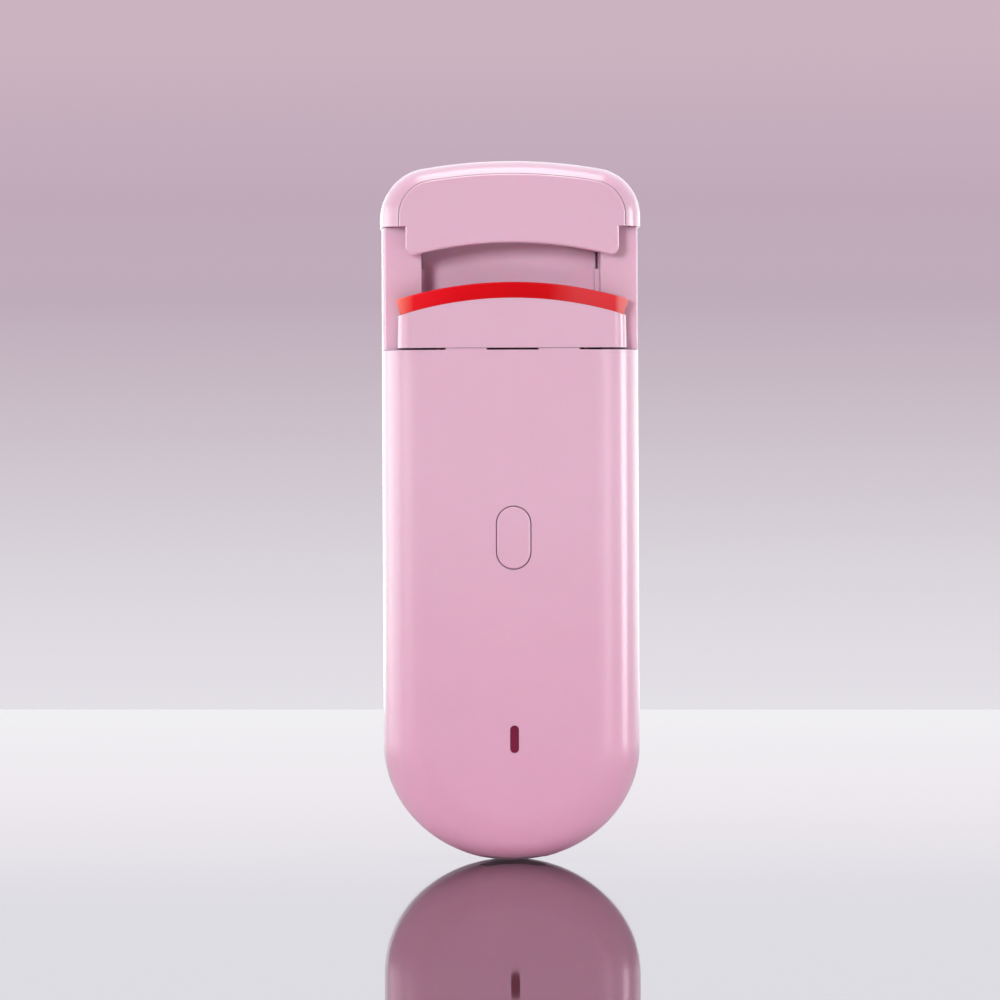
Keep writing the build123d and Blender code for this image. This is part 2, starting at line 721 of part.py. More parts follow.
def heater_leads():
    """Two leads from the ends of the heater, down beside the legs."""
    wires = []
    middle_z = ptc_bottom + ptc_height / 2
    drop_x = leg_outer + 2 * lead_radius
    for side in SIDES:
        points = ((side * ptc_width / 2, heater_y, middle_z), (side * drop_x, heater_y, middle_z),
                  (side * drop_x, heater_y, leg_foot_z))
        wires.append(lead(points, lead_bend))
    return Compound(children=wires)


def jaw_carriage():
    tongue = block((-leg_outer, leg_outer), (leg_front_y, jaw_rear_y), (jaw_bottom, tongue_top))
    legs = pair((leg_inner, leg_outer), (leg_front_y, leg_front_y + leg_thickness),
                (leg_foot_z + foot_height, tongue_top))
    feet = pair((leg_inner, leg_outer), (leg_front_y, foot_rear_y),
                (leg_foot_z, leg_foot_z + foot_height))
    seat = block((-leg_inner, leg_inner), (leg_front_y, foot_rear_y),
                 (spring_seat_top - spring_seat, spring_seat_top))
    half = carriage_half
    rear_y = chamber_back_y - 2 * guide_gap
    front_wall = block((-half, half), (jaw_rear_y, jaw_rear_y + carriage_wall),
                       (jaw_bottom, heating_plate_bottom))
    base = block((-half, half), (jaw_rear_y, rear_y), (jaw_bottom, jaw_bottom + carriage_base))
    arms = pair((half - guide_arm, half), (guide_front_y, rear_y), (jaw_bottom, guide_arm_top))
    ribs = pair((half - guide_arm, half + guide_rib), (guide_front_y, guide_front_y + guide_rib_width),
                (jaw_bottom, guide_arm_top))
    carriage = tongue + legs + feet + seat + front_wall + base + arms + ribs
    slot_length = crank_rest_y - crank_mid_y
    slot = Plane.YZ * Pos((crank_rest_y + crank_mid_y) / 2, crank_pin_z) * SlotCenterToCenter(
        slot_length, 2 * (crank_pin_radius + running_gap))
    carriage -= extrude(slot, amount=body_width / 2, both=True)
    return carriage


def return_spring():
    half_wire = spring_wire / 2
    bottom = spring_seat_top + half_wire
    length = deck_top - deck_thickness - half_wire - bottom
    coil = Helix(length / spring_turns, length, spring_radius)
    section = Plane(coil @ 0, z_dir=coil % 0) * Circle(half_wire)
    return Pos(0, spring_y, bottom) * sweep(section, path=coil, is_frenet=True)


# ---- Press lever ----

def at_rest(shape):
    """Swing a lever piece, drawn pressed home, out to its rest position."""
    swing = Pos(0, pivot_y, pivot_z) * Rot(2 * crank_angle, 0, 0) * Pos(0, -pivot_y, -pivot_z)
    return swing * shape


def grip_outline(grow):
    middle_z = lever_end_z + grip_margin + grip_height / 2
    return Pos(0, middle_z) * RectangleRounded(grip_width + 2 * grow, grip_height + 2 * grow,
                                               grip_width / 3)


def press_lever():
    half = lever_width / 2
    panel = block((-half, half), (lever_outer_y - lever_thickness, lever_outer_y),
                  (lever_end_z, pivot_z))
    corners = panel.edges().filter_by(Axis.Y).sort_by(Axis.Z)[:2]
    panel = fillet(corners, lever_end_corner)
    outer = panel.faces().sort_by(Axis.Y)[-1].edges().sort_by(Axis.Z)[:-1]
    panel = fillet(outer, lever_thickness / 3)
    lever = panel + rod_x(hub_radius, -half, half, pivot_y, pivot_z)
    root_z = pivot_z - sqrt(hub_radius ** 2 - (pivot_y - skirt_root_y) ** 2)
    skirt = make_face(Polyline((skirt_root_y, root_z), (lever_outer_y - lever_thickness, skirt_low_z),
                               (lever_outer_y - 1, skirt_low_z), (lever_outer_y - 1, pivot_z),
                               (pivot_y, pivot_z), close=True))
    skirts = extrude(Plane.YZ * skirt, amount=half, both=True)
    lever += skirts - block((-half + skirt_thickness, half - skirt_thickness), (0, 2 * REAR),
                            (0, pivot_z))
    arm = Plane.YZ * Pos(pivot_y, pivot_z) * Rot(0, 0, 180 - crank_angle) * Pos(crank_length / 2, 0) \
        * SlotCenterToCenter(crank_length, 2 * crank_eye)
    lever += extrude(arm, amount=crank_half_width, both=True)
    lever -= rod_x(axle_radius + running_gap, -body_width, body_width, pivot_y, pivot_z)
    pin_y = pivot_y - crank_length * cos(radians(crank_angle))
    lever -= rod_x(crank_pin_radius, -body_width, body_width, pin_y, pivot_z + travel / 2)
    lever -= prism(grip_outline(0), lever_outer_y - grip_depth, 2 * REAR)
    return at_rest(lever)


def lever_grip():
    pad = prism(grip_outline(-seam), lever_outer_y - grip_depth, lever_outer_y + grip_depth / 2)
    pad = fillet(pad.faces().sort_by(Axis.Y)[-1].edges(), grip_depth / 3)
    return at_rest(pad)


def lever_axle():
    length = well_half + 2 * well_wall
    return rod_x(axle_radius, -length, length, pivot_y, pivot_z)


def crank_pin():
    return rod_x(crank_pin_radius, -leg_outer, leg_outer, crank_rest_y, crank_pin_z)


# ---- Screws ----

def screw(radius, length, head_radius, head_height, seat_y, x, z):
    """A pan head screw that points to the front, its head seated at seat_y."""
    body = rod_y(radius, seat_y - length, seat_y, x, z)
    body += rod_y(head_radius, seat_y, seat_y + head_height, x, z)
    cross = block((x - head_radius / 2, x + head_radius / 2), (seat_y + head_height / 2, REAR),
                  (z - head_radius / 8, z + head_radius / 8))
    cross += block((x - head_radius / 8, x + head_radius / 8), (seat_y + head_height / 2, REAR),
                   (z - head_radius / 2, z + head_radius / 2))
    return body - cross


def case_screws():
    return Compound(children=[
        screw(screw_radius, case_screw_length, screw_head_radius, screw_head_height, case_head_y,
              side * case_screw_x, z)
        for side in SIDES for z in (case_screw_low_z, case_screw_high_z)])


def board_screws():
    return Compound(children=[
        screw(board_screw_radius, board_screw_length, board_screw_radius * 2, board_screw_radius,
              chassis_rear_y, side * board_screw_x, z)
        for side in SIDES for z in board_screw_zs])


def jaw_screws():
    return Compound(children=[
        screw(jaw_screw_radius, jaw_screw_length, jaw_screw_radius * 2, jaw_screw_radius,
              post_front_y + frame_wall, side * jaw_screw_x, jaw_screw_z)
        for side in SIDES])


NODES = (
    front_cover, rear_shell, head_frame, upper_hood, upper_jaw, window_back_plate, inner_chassis,
    main_pcb, control_chips, tact_switch, led_light_pipe, led_chip, usb_c_shell, usb_c_tongue,
    battery_cell, battery_foam, battery_leads, case_screws, board_screws, jaw_screws, lever_axle,
    lower_jaw, jaw_carriage, silicone_pad, heating_plate, ptc_heater, heater_insulator, thermistor,
    heater_leads, return_spring, press_lever, lever_grip, crank_pin, power_button, switch_plunger,
)

os.makedirs("parts", exist_ok=True)
for node in NODES:
    export_step(node(), "parts/" + node.__name__ + ".step")
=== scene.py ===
"""A pink heated eyelash curler on a glossy pale table, in soft studio light."""
import json
import math

import bmesh
import bpy
from mathutils import Matrix, Vector


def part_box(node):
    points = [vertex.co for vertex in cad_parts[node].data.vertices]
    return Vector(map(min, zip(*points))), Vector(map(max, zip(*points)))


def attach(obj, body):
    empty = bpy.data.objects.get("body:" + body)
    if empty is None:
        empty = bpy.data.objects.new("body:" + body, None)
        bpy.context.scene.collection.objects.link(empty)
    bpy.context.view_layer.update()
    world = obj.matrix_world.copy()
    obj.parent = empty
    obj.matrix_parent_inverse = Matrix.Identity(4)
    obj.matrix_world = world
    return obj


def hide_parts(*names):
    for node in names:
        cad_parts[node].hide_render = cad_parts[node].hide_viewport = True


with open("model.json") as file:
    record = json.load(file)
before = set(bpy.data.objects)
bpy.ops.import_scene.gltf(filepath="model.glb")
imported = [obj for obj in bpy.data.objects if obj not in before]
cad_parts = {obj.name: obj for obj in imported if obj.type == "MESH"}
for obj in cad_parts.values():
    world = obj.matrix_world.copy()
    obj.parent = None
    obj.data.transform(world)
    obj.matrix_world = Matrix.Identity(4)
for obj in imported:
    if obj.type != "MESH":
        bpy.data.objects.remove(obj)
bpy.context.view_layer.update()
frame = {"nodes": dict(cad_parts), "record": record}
nodes = frame["nodes"]
MM = 0.001


def srgb(red, green, blue):
    """Linear colour from display values of 0 to 255."""
    return tuple(((v / 255 + 0.055) / 1.055) ** 2.4 if v > 10 else v / 255 / 12.92
                 for v in (red, green, blue))


# ---- Driving values, in metres, degrees and watts unless a line says otherwise ----

CAMERA_AZIMUTH = math.radians(-2.6)
CAMERA_DISTANCE = 1.0
CAMERA_HEIGHT = 50.9 * MM
CAMERA_PAN = math.radians(0.085)
CAMERA_ROLL = math.radians(-0.25)
CAMERA_LENS = 254.0
CAMERA_SENSOR = 36.0
VIEW_TRANSFORM = "Standard"

# Each soft box: azimuth, elevation and distance from the aim, then width, height and power.
LIGHT_AIM = (0, 0, 55 * MM)
LIGHTS = {
    "key": (-18, 7, 1.3, 0.20, 0.20, 7.7),
    "fill": (8, 6, 1.6, 0.6, 0.6, 0.3),
    "top_box": (-5, 84, 0.8, 0.5, 0.4, 4.2),
    "right_front": (36, 6, 0.26, 0.08, 0.16, 0.08),
    "low_right": (26, -9, 0.28, 0.16, 0.03, 0.06),
    "left_box": (-106, 4, 0.7, 0.6, 0.28, 1.5),
    "left_front": (-62, 8, 0.9, 0.4, 0.30, 0.8),
    "right_strip": (82, 4, 0.8, 0.22, 0.28, 2.3),
    "right_back": (128, 6, 0.8, 0.4, 0.3, 0.4),
}
NOT_MIRRORED = ("key", "fill", "low_right")
ONLY_MIRRORED = ("right_front",)
NOT_ON_FLOOR = ("right_front", "low_right", "left_box", "left_front", "right_strip", "right_back")

# The backdrop and the mirrored studio: the vertical part of the ray's direction, and the colour there.
BACKDROP = ((-0.035, srgb(230, 227, 233)), (-0.0142, srgb(221, 216, 223)), (0.0, srgb(211, 203, 211)),
            (0.0142, srgb(201, 188, 198)), (0.0283, srgb(191, 172, 187)), (0.0425, srgb(192, 170, 186)),
            (0.0623, srgb(202, 178, 191)), (0.08, srgb(206, 182, 194)))
STUDIO = ((-0.2, (0.80, 0.90, 0.88)), (0.03, (0.85, 1.0, 0.95)), (0.0425, (0.81, 0.92, 0.90)),
          (0.0566, (0.69, 0.81, 0.80)), (0.07, (0.69, 0.81, 0.80)), (0.2, (0.60, 0.70, 0.70)))
# The studio brightens from its front strength to its back strength between two depths of the direction.
STUDIO_DEPTHS = (-0.35, 0.75)
STUDIO_FRONT = 0.12
STUDIO_BACK = 2.4
# A low band all round the studio keeps the floor pale from every side; it fades out at both its edges.
BAND_STRENGTH = 1.5
BAND_BOTTOM = (0.0, 0.01)
BAND_TOP = (0.30, 0.08)
AROUND = (1.0, 0.88, 0.93, 1)
AROUND_STRENGTH = 0.19

FLOOR_HALF = 0.706
FLOOR_TURN = math.radians(-8.4)
FLOOR_MATT = (0.92, 0.86, 0.89, 1)
FLOOR_MIRROR = (0.44, 0.37, 0.40, 1)
FLOOR_ROUGHNESS = 0.03
# The mirror's share of the floor grows between two values of Layer Weight's Facing, and is small for
# the light that the floor bounces on.
FLOOR_FACING = (0.80, 0.92)
FLOOR_MIRROR_SHARE = (0.45, 0.97)
FLOOR_BOUNCE_SHARE = 0.12

PINK = srgb(222, 178, 199)
PINK_DEPTH = (1.0, 0.22, 0.42)
STEEL = srgb(196, 198, 202)
# The shell's colour is darkened towards its lower end with painted shade: the shade, and the heights where it
# is full and gone.
SHELL_PAINTED_SHADE = (0.95, 0.79, 0.87)
SHELL_PAINTED_SHADE_HEIGHTS = (-2 * MM, 60 * MM)
# The pad's colour along the jaw, with painted light in it, paler towards its ends as painted highlight and
# glow: the distance to the right of the middle plane, and the colour there.
PAD_RED_WITH_PAINTED_LIGHT = ((-16.3 * MM, srgb(246, 142, 132)), (-15.2 * MM, srgb(242, 104, 94)),
             (-13.9 * MM, srgb(232, 28, 40)), (-8.0 * MM, srgb(220, 10, 24)), (0.0, srgb(206, 4, 16)),
             (5.0 * MM, srgb(204, 10, 20)), (9.0 * MM, srgb(212, 64, 68)), (14.4 * MM, srgb(218, 60, 68)),
             (15.0 * MM, srgb(232, 126, 124)), (16.3 * MM, srgb(238, 144, 140)))
MOTTLE_SHARE = 0.15

# The pad: the radius of its top, then its thickness, corners in plan, softened edges and the heater's key.
PAD_RADIUS = 55.4 * MM
PAD_THICKNESS = 2.25 * MM
PAD_CORNER = 1.1 * MM
PAD_END = 0.25 * MM
PAD_SOFT = 0.35 * MM
PAD_UNDER = 0.08 * MM
PAD_RIB = 0.5 * MM
PAD_CLEAR = 0.004 * MM
PAD_SETBACK = 0.8
END_STEPS = 8
END_LAST = 0.999
CORNER_STEPS = 8
CORNER_EASE = 1.3
MIDDLE_STEPS = 28

# The lever's grip, in millimetres. Its outline is a stack of (inset, height over the lever) steps.
GRIP_WIDTH = 8.84
GRIP_HEIGHT = 11.84
GRIP_CORNER = 2.92
GRIP_OUT = 3.6
GRIP_DOWN = 15.8
GRIP_OUTLINE = ((0, -0.6), (0, 0.02), (0.06, 0.10), (0.16, 0.14))
GRIP_RIDGES = 7
RIDGE_MARGIN = 1.5
RIDGE_WIDTH = 0.8
RIDGE_INSET = 1.0
RIDGE_BASE = 0.10
RIDGE_RISE = 0.19
RIDGE_SIDES = 16
# A ridge tapers at both ends: the distance from the end, and the share of its full size there.
RIDGE_TAPER = ((0, 0.05), (0.08, 0.55), (0.22, 0.85), (0.45, 1.0))


# ---- Camera, light and floor ----

def place(azimuth, elevation, distance, target):
    """A point seen from the target at that azimuth (0 in front, positive to the right) and elevation."""
    a, e = math.radians(azimuth), math.radians(elevation)
    direction = Vector((math.sin(a) * math.cos(e), -math.cos(a) * math.cos(e), math.sin(e)))
    return Vector(target) + direction * distance


def make_camera():
    camera = bpy.data.objects.new("camera", bpy.data.cameras.new("camera"))
    bpy.context.collection.objects.link(camera)
    camera.data.lens = CAMERA_LENS
    camera.data.sensor_width = CAMERA_SENSOR
    camera.data.clip_start = 0.01
    camera.data.clip_end = 50.0
    turn = Matrix.Rotation(CAMERA_AZIMUTH + CAMERA_PAN, 4, "Z") @ Matrix.Rotation(math.pi / 2, 4, "X")
    spot = Vector((math.sin(CAMERA_AZIMUTH), -math.cos(CAMERA_AZIMUTH), 0)) * CAMERA_DISTANCE
    spot.z = CAMERA_HEIGHT
    camera.matrix_world = Matrix.Translation(spot) @ turn @ Matrix.Rotation(CAMERA_ROLL, 4, "Z")
    bpy.context.scene.camera = camera
    bpy.context.scene.view_settings.view_transform = VIEW_TRANSFORM


def make_area(name, azimuth, elevation, distance, width, height, power):
    """A soft box that faces the middle of the object."""
    light = bpy.data.objects.new(name, bpy.data.lights.new(name, "AREA"))
    bpy.context.collection.objects.link(light)
    light.data.shape = "RECTANGLE"
    light.data.size = width
    light.data.size_y = height
    light.data.energy = power
    light.location = place(azimuth, elevation, distance, LIGHT_AIM)
    light.rotation_euler = (light.location - Vector(LIGHT_AIM)).to_track_quat("Z", "Y").to_euler()
    light.visible_camera = False
    light.visible_glossy = name not in NOT_MIRRORED
    light.visible_diffuse = name not in ONLY_MIRRORED
    return light


def make_lights(floor):
    """The soft boxes. Those at the sides spare the floor, to leave no bright squares in its mirror."""
    spared = bpy.data.collections.new("unlit_by_side_boxes")
    spared.objects.link(floor)
    spared.collection_objects[0].light_linking.link_state = "EXCLUDE"
    for name, setting in LIGHTS.items():
        light = make_area(name, *setting)
        if name in NOT_ON_FLOOR:
            light.light_linking.receiver_collection = spared


def split_coordinate(tree, coordinate):
    """The separate X, Y and Z of a texture coordinate."""
    where = tree.nodes.new("ShaderNodeTexCoord")
    split = tree.nodes.new("ShaderNodeSeparateXYZ")
    tree.links.new(where.outputs[coordinate], split.inputs[0])
    return split.outputs


def map_range(tree, value, source, target=(0, 1), smooth=False):
    """Maps a value from one range to another, and holds it at the ends."""
    node = tree.nodes.new("ShaderNodeMapRange")
    if smooth:
        node.interpolation_type = "SMOOTHSTEP"
    node.inputs["From Min"].default_value, node.inputs["From Max"].default_value = source
    node.inputs["To Min"].default_value, node.inputs["To Max"].default_value = target
    tree.links.new(value, node.inputs["Value"])
    return node


def ramp_along(tree, value, stops):
    """A colour ramp over a value; each stop is a value and the colour there."""
    first, last = stops[0][0], stops[-1][0]
    ramp = tree.nodes.new("ShaderNodeValToRGB")
    ramp.color_ramp.elements[0].color = (*stops[0][1], 1)
    ramp.color_ramp.elements[1].color = (*stops[-1][1], 1)
    for spot, colour in stops[1:-1]:
        ramp.color_ramp.elements.new((spot - first) / (last - first)).color = (*colour, 1)
    tree.links.new(map_range(tree, value, (first, last)).outputs["Result"], ramp.inputs["Fac"])
    return ramp.outputs["Color"]


def combine(tree, operation, first, second):
    """Two values joined by a Math node."""
    node = tree.nodes.new("ShaderNodeMath")
    node.operation = operation
    tree.links.new(first, node.inputs[0])
    tree.links.new(second, node.inputs[1])
    return node.outputs[0]


def make_world():
    """What rays that miss everything see.

    Camera rays see the backdrop's gradient. Mirror rays see a studio that is bright behind the object
    and dark in front of it, above a pale low band. All others see an even soft light.
    """
    world = bpy.data.worlds.new("studio")
    bpy.context.scene.world = world
    world.use_nodes = True
    tree = world.node_tree
    tree.nodes.clear()
    link = tree.links.new
    seen, mirrored, around = [tree.nodes.new("ShaderNodeBackground") for _ in range(3)]
    around.inputs["Color"].default_value = AROUND
    around.inputs["Strength"].default_value = AROUND_STRENGTH
    direction = split_coordinate(tree, "Generated")
    link(ramp_along(tree, direction["Z"], BACKDROP), seen.inputs["Color"])
    link(ramp_along(tree, direction["Z"], STUDIO), mirrored.inputs["Color"])
    studio = map_range(tree, direction["Y"], STUDIO_DEPTHS, (STUDIO_FRONT, STUDIO_BACK), smooth=True)
    bottom = map_range(tree, direction["Z"], BAND_BOTTOM, (0, BAND_STRENGTH), smooth=True)
    top = map_range(tree, direction["Z"], BAND_TOP, smooth=True)
    band = combine(tree, "MULTIPLY", bottom.outputs["Result"], top.outputs["Result"])
    link(combine(tree, "MAXIMUM", band, studio.outputs["Result"]), mirrored.inputs["Strength"])
    path = tree.nodes.new("ShaderNodeLightPath")
    camera_or_not, glossy_or_not = [tree.nodes.new("ShaderNodeMixShader") for _ in range(2)]
    out = tree.nodes.new("ShaderNodeOutputWorld")
    link(path.outputs["Is Glossy Ray"], glossy_or_not.inputs["Fac"])
    link(around.outputs[0], glossy_or_not.inputs[1])
    link(mirrored.outputs[0], glossy_or_not.inputs[2])
    link(path.outputs["Is Camera Ray"], camera_or_not.inputs["Fac"])
    link(glossy_or_not.outputs[0], camera_or_not.inputs[1])
    link(seen.outputs[0], camera_or_not.inputs[2])
    link(camera_or_not.outputs[0], out.inputs["Surface"])


def floor_material():
    """Pale and matt from above, and a tinted mirror at a low angle."""
    material = bpy.data.materials.new("floor")
    material.use_nodes = True
    tree = material.node_tree
    tree.nodes.clear()
    link = tree.links.new
    matt = tree.nodes.new("ShaderNodeBsdfDiffuse")
    matt.inputs["Color"].default_value = FLOOR_MATT
    gloss = tree.nodes.new("ShaderNodeBsdfGlossy")
    gloss.inputs["Color"].default_value = FLOOR_MIRROR
    gloss.inputs["Roughness"].default_value = FLOOR_ROUGHNESS
    grazing = tree.nodes.new("ShaderNodeLayerWeight")
    path = tree.nodes.new("ShaderNodeLightPath")
    mirror = map_range(tree, grazing.outputs["Facing"], FLOOR_FACING, FLOOR_MIRROR_SHARE)
    share = map_range(tree, path.outputs["Is Diffuse Ray"], (0, 1), (0, FLOOR_BOUNCE_SHARE))
    link(mirror.outputs["Result"], share.inputs["To Min"])
    mix = tree.nodes.new("ShaderNodeMixShader")
    out = tree.nodes.new("ShaderNodeOutputMaterial")
    link(share.outputs["Result"], mix.inputs["Fac"])
    link(matt.outputs[0], mix.inputs[1])
    link(gloss.outputs[0], mix.inputs[2])
    link(mix.outputs[0], out.inputs["Surface"])
    return material


def make_floor():
    """A square table top, whose far edge is the horizon."""
    mesh = bpy.data.meshes.new("floor")
    form = bmesh.new()
    bmesh.ops.create_grid(form, x_segments=1, y_segments=1, size=FLOOR_HALF)
    form.to_mesh(mesh)
    form.free()
    floor = bpy.data.objects.new("floor", mesh)
    bpy.context.collection.objects.link(floor)
    floor.rotation_euler.z = CAMERA_AZIMUTH + FLOOR_TURN
    mesh.materials.append(floor_material())
    return floor


# ---- Materials ----

def paint_low_shade(material, shade, heights):
    """Paints shade into the base colour: multiplies it by a shade that is full at the first height and gone
    at the second.
    """
    tree = material.node_tree
    shader = tree.nodes["Principled BSDF"]
    height = split_coordinate(tree, "Object")["Z"]
    fade = map_range(tree, height, heights, (1, 0), smooth=True)
    blend = tree.nodes.new("ShaderNodeMix")
    blend.data_type = "RGBA"
    blend.blend_type = "MULTIPLY"
    blend.inputs["B"].default_value = (*shade, 1)
    body = shader.inputs["Base Color"].links[0].from_socket
    tree.links.new(fade.outputs["Result"], blend.inputs["Factor"])
    tree.links.new(body, blend.inputs["A"])
    tree.links.new(blend.outputs["Result"], shader.inputs["Base Color"])
    return material


def surface(name, colour, colour_b=None, roughness=0.4, spread=0.05, grain=0.25, bump=0.02, mottle=12.0,
            stretch=(1, 1, 1), **inputs):
    """A surface with gentle colour mottle, varied roughness and a fine moulded or worked grain.

    grain is the size of the surface texture in millimetres, and mottle that of the colour patches.
    """
    material = bpy.data.materials.new(name)
    material.use_nodes = True
    tree = material.node_tree
    shader = tree.nodes["Principled BSDF"]
    where = tree.nodes.new("ShaderNodeTexCoord")
    scaled = tree.nodes.new("ShaderNodeMapping")
    scaled.inputs["Scale"].default_value = stretch
    patches = tree.nodes.new("ShaderNodeTexNoise")
    patches.inputs["Scale"].default_value = 1000 / mottle
    patches.inputs["Detail"].default_value = 3
    tint = tree.nodes.new("ShaderNodeMix")
    tint.data_type = "RGBA"
    tint.inputs["A"].default_value = (*colour, 1)
    tint.inputs["B"].default_value = (*(colour_b or [v * 0.94 for v in colour]), 1)
    fine = tree.nodes.new("ShaderNodeTexNoise")
    fine.inputs["Scale"].default_value = 1000 / grain
    fine.inputs["Detail"].default_value = 2
    rough = tree.nodes.new("ShaderNodeMapRange")
    rough.inputs["To Min"].default_value = roughness - spread
    rough.inputs["To Max"].default_value = roughness + spread
    relief = tree.nodes.new("ShaderNodeBump")
    relief.inputs["Strength"].default_value = 0.35
    relief.inputs["Distance"].default_value = bump * MM
    link = tree.links.new
    link(where.outputs["Object"], scaled.inputs["Vector"])
    for texture in (patches, fine):
        link(scaled.outputs["Vector"], texture.inputs["Vector"])
    link(patches.outputs["Fac"], tint.inputs["Factor"])
    link(tint.outputs["Result"], shader.inputs["Base Color"])
    link(fine.outputs["Fac"], rough.inputs["Value"])
    link(rough.outputs["Result"], shader.inputs["Roughness"])
    link(fine.outputs["Fac"], relief.inputs["Height"])
    link(relief.outputs["Normal"], shader.inputs["Normal"])
    for socket, value in inputs.items():
        shader.inputs[socket.replace("_", " ")].default_value = value
    return material


def silicone(name, stops):
    """Translucent rubber whose colour along the jaw holds painted light: its ends are painted paler, as
    painted highlight and glow of light through them.
    """
    material = surface(name, stops[len(stops) // 2][1], roughness=0.4, spread=0.05, grain=0.12, bump=0.01,
                       Subsurface_Weight=0.3, Subsurface_Scale=0.8 * MM, Subsurface_Radius=(1.0, 0.12, 0.10),
                       Specular_IOR_Level=0.1)
    tree = material.node_tree
    shader = tree.nodes["Principled BSDF"]
    mottle = tree.nodes.new("ShaderNodeMix")
    mottle.data_type = "RGBA"
    mottle.inputs["Factor"].default_value = MOTTLE_SHARE
    body = shader.inputs["Base Color"].links[0].from_socket
    # This ramp along the jaw paints light into the pad's colour: paler ends.
    tree.links.new(ramp_along(tree, split_coordinate(tree, "Object")["X"], stops), mottle.inputs["A"])
    tree.links.new(body, mottle.inputs["B"])
    tree.links.new(mottle.outputs["Result"], shader.inputs["Base Color"])
    return material


def make_materials():
    shell = surface("pink_shell", PINK, roughness=0.36, Specular_IOR_Level=0.5, Coat_Weight=0.55,
                    Coat_Roughness=0.18, Subsurface_Weight=0.3, Subsurface_Scale=1.2 * MM,
                    Subsurface_Radius=PINK_DEPTH)
    return {
        # The shell's base colour gets painted shade, darker and deeper pink towards its lower end.
        "pink_shell": paint_low_shade(shell, SHELL_PAINTED_SHADE, SHELL_PAINTED_SHADE_HEIGHTS),
        # pink_frame's colour is the shell's pink painted lighter: painted light on the posts and window
        # walls.
        "pink_frame": surface("pink_frame", srgb(230, 190, 210), roughness=0.42, Subsurface_Weight=0.6,
                              Subsurface_Scale=2.4 * MM, Subsurface_Radius=PINK_DEPTH),
        "pink_jaw": surface("pink_jaw", PINK, roughness=0.33, Coat_Weight=0.6, Coat_Roughness=0.18,
                            Subsurface_Weight=0.3, Subsurface_Scale=1.2 * MM, Subsurface_Radius=PINK_DEPTH),
        "red_silicone": silicone("red_silicone", PAD_RED_WITH_PAINTED_LIGHT),
        "grip_silicone": surface("grip_silicone", srgb(206, 146, 172), roughness=0.62, grain=0.15, bump=0.03),
        # pink_back's colour is the shell's pink painted much lighter: painted light on the recessed back
        # plate and carriage.
        "pink_back": surface("pink_back", srgb(250, 204, 226), roughness=0.5, Subsurface_Weight=0.5,
                             Subsurface_Scale=1.6 * MM, Subsurface_Radius=PINK_DEPTH),
        "nylon_inner": surface("nylon_inner", srgb(233, 214, 222), roughness=0.5, grain=0.2, bump=0.03),
        "board": surface("board", srgb(24, 92, 58), srgb(18, 76, 48), roughness=0.3, grain=0.6, bump=0.02),
        "chip_black": surface("chip_black", srgb(30, 30, 33), roughness=0.5, grain=0.1, bump=0.02),
        "lens_smoked": surface("lens_smoked", srgb(122, 30, 62), srgb(106, 24, 52), roughness=0.3,
                               spread=0.04, bump=0.004, Specular_IOR_Level=0.15),
        "led_white": surface("led_white", srgb(244, 236, 206), roughness=0.4),
        "port_metal": surface("port_metal", STEEL, roughness=0.26, stretch=(1, 1, 0.1), bump=0.006,
                              Metallic=1.0),
        "steel": surface("steel", STEEL, roughness=0.24, grain=0.1, bump=0.006, Metallic=1.0),
        "spring_steel": surface("spring_steel", srgb(178, 180, 186), roughness=0.2, bump=0.004, Metallic=1.0),
        "aluminium_plate": surface("aluminium_plate", srgb(208, 210, 214), roughness=0.34,
                                   stretch=(0.1, 1, 1), bump=0.01, Metallic=1.0),
        "ceramic_heater": surface("ceramic_heater", srgb(236, 230, 218), roughness=0.7, bump=0.03),
        "insulation": surface("insulation", srgb(206, 172, 118), srgb(180, 144, 92), roughness=0.55,
                              mottle=2),
        "cell_foil": surface("cell_foil", srgb(186, 188, 192), roughness=0.3, mottle=5, bump=0.03,
                             Metallic=0.9),
        "foam_black": surface("foam_black", srgb(40, 40, 42), roughness=0.9, grain=0.3, bump=0.15),
        "lead_red": surface("lead_red", srgb(176, 24, 26), roughness=0.4, bump=0.006),
    }


# ---- Pieces ----

def dress(materials):
    """Each CAD node gets its slot's material."""
    for entry in frame["record"]["subparts"]:
        mesh = nodes[entry["node"]].data
        mesh.materials.clear()
        mesh.materials.append(materials[entry["material_slot"]])


def add_piece(name, form, material, body):
    """A mesh piece that rides on a body and takes its finish from a slot."""
    mesh = bpy.data.meshes.new(name)
    form.to_mesh(mesh)
    form.free()
    mesh.materials.append(material)
    piece = bpy.data.objects.new(name, mesh)
    bpy.context.collection.objects.link(piece)
    for face in mesh.polygons:
        face.use_smooth = True
    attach(piece, body)
    return piece


def bridge(form, rings):
    """Quads between rings of points, with the first and last ring filled."""
    loops = [[form.verts.new(point) for point in ring] for ring in rings]
    count = len(loops[0])
    for near, far in zip(loops, loops[1:]):
        for i in range(count):
            j = (i + 1) % count
            form.faces.new((near[i], near[j], far[j], far[i]))
    form.faces.new(loops[0][::-1])
    form.faces.new(loops[-1])


def quarter(centre, radius, start, steps):
    """Points of a quarter circle, in the plane of the two coordinates given."""
    return [(centre[0] + radius * math.cos(start + math.pi / 2 * i / steps),
             centre[1] + radius * math.sin(start + math.pi / 2 * i / steps)) for i in range(steps + 1)]


def pad_section(front, rear, bottom, top, soft, under):
    """The pad's section as (depth, radius) points: soft upper edges, nearly sharp lower ones."""
    points = quarter((front + soft, top - soft), soft, math.pi / 2, 5)
    points += quarter((front + under, bottom + under), under, math.pi, 3)
    points += quarter((rear - under, bottom + under), under, 3 * math.pi / 2, 3)
    points += quarter((rear - soft, top - soft), soft, 0, 5)
    return points


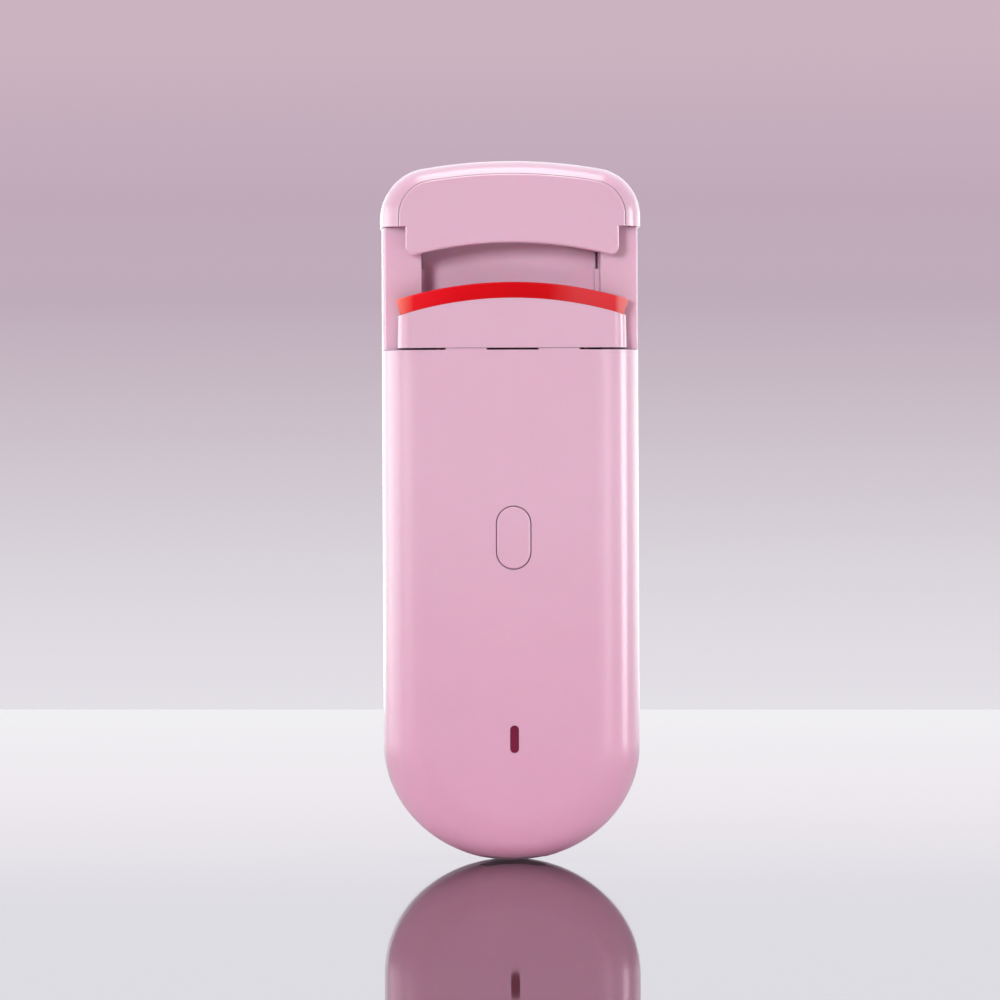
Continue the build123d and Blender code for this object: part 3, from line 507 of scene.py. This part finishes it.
def arc_band(form, front, rear, bottom, top, half_angle, centre_z, corner, end_soft):
    """A band swept along the jaws' arc, its front corners round in plan and its ends softened."""
    length = half_angle * top
    half = []
    for i in range(END_STEPS + 1):
        turn = math.pi / 2 * i / END_STEPS
        half.append((end_soft * (1 - math.cos(turn)) * END_LAST, end_soft * (1 - math.sin(turn))))
    half += [(end_soft + (corner - end_soft) * (i / CORNER_STEPS) ** CORNER_EASE, 0.0)
             for i in range(1, CORNER_STEPS + 1)]
    half += [(corner + (length - corner) * i / MIDDLE_STEPS, 0.0) for i in range(1, MIDDLE_STEPS + 1)]
    whole = [(-length + d, shrink, d) for d, shrink in half]
    whole += [(length - d, shrink, d) for d, shrink in half[-2::-1]]
    rings = []
    for place_along, shrink, from_end in whole:
        back = corner - math.sqrt(max(corner ** 2 - (corner - min(from_end, corner)) ** 2, 0.0))
        section = pad_section(front + back * PAD_SETBACK + shrink, rear - shrink,
                              bottom + shrink, top - shrink, PAD_SOFT, PAD_UNDER)
        angle = place_along / top
        rings.append([(radius * math.sin(angle), depth, centre_z + radius * math.cos(angle))
                      for depth, radius in section])
    bridge(form, rings)


def make_pad(materials):
    """The red silicone pad on the lower jaw, with the rib that keys it into the heater's slot."""
    low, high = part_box("silicone_pad")
    plate_low, plate_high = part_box("heating_plate")
    top_z = high[2] - PAD_CLEAR
    front, rear = low[1] + PAD_CLEAR, high[1] - PAD_CLEAR
    centre_z = top_z - PAD_RADIUS
    half_angle = math.asin((high[0] - PAD_CLEAR) / PAD_RADIUS)
    form = bmesh.new()
    arc_band(form, front, rear, PAD_RADIUS - PAD_THICKNESS, PAD_RADIUS, half_angle, centre_z,
             PAD_CORNER, PAD_END)
    rib_top = PAD_RADIUS - PAD_THICKNESS + PAD_RIB
    rib_angle = math.asin(plate_high[0] / rib_top)
    arc_band(form, plate_low[1], plate_high[1], rib_top - 2 * PAD_RIB, rib_top, rib_angle, centre_z,
             2 * PAD_SOFT, PAD_UNDER)
    bmesh.ops.recalc_face_normals(form, faces=form.faces)
    pad = add_piece("pad_red", form, materials["red_silicone"], "lower_jaw_unit")
    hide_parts("silicone_pad")


def rounded_rectangle(half_x, half_z, corner, steps=8):
    """The outline's points, corner by corner."""
    points = []
    for turn, (sx, sz) in enumerate(((1, 1), (-1, 1), (-1, -1), (1, -1))):
        points += quarter((sx * (half_x - corner), sz * (half_z - corner)), corner, turn * math.pi / 2, steps)
    return points


def add_ridge(form, middle):
    """One rounded ridge across the grip, at that height from its middle."""
    overrun = max(abs(middle) - (GRIP_HEIGHT / 2 - GRIP_CORNER), 0)
    reach = GRIP_WIDTH / 2 - RIDGE_INSET
    reach -= GRIP_CORNER - math.sqrt(GRIP_CORNER ** 2 - overrun ** 2)
    stations = [(-reach + inward, size) for inward, size in RIDGE_TAPER]
    stations += [(reach - inward, size) for inward, size in reversed(RIDGE_TAPER)]
    angles = [math.pi * 2 * k / RIDGE_SIDES for k in range(RIDGE_SIDES)]
    bridge(form, [[(x * MM, (RIDGE_BASE + size * RIDGE_RISE * math.cos(a)) * MM,
                    (middle + size * RIDGE_WIDTH / 2 * math.sin(a)) * MM) for a in angles]
                  for x, size in stations])


def make_grip(materials):
    """The lever's silicone grip: a soft-edged pad with rounded ridges across it."""
    joint = next(j for j in frame["record"]["behaviour"]["joints"] if j["name"] == "lever_press")
    pivot = Vector(joint["pos_m"])
    swing = Matrix.Rotation(math.radians(joint["range_deg"][1]), 4, "X")
    form = bmesh.new()
    bridge(form, [[(x, out * MM, z) for x, z in
                   rounded_rectangle((GRIP_WIDTH / 2 - inset) * MM, (GRIP_HEIGHT / 2 - inset) * MM,
                                     (GRIP_CORNER - inset) * MM)] for inset, out in GRIP_OUTLINE])
    pitch = (GRIP_HEIGHT - 2 * RIDGE_MARGIN) / (GRIP_RIDGES - 1)
    for i in range(GRIP_RIDGES):
        add_ridge(form, -GRIP_HEIGHT / 2 + RIDGE_MARGIN + pitch * i)
    bmesh.ops.recalc_face_normals(form, faces=form.faces)
    place_to = Matrix.Translation((0, pivot.y + GRIP_OUT * MM, pivot.z - GRIP_DOWN * MM))
    about = Matrix.Translation(pivot) @ swing @ Matrix.Translation(-pivot)
    form.transform(about @ place_to)
    grip = add_piece("grip_ribbed", form, materials["grip_silicone"], "lever_unit")
    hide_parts("lever_grip")


# ---- The scene ----

make_camera()
make_lights(make_floor())
make_world()
materials = make_materials()
dress(materials)
make_pad(materials)
make_grip(materials)
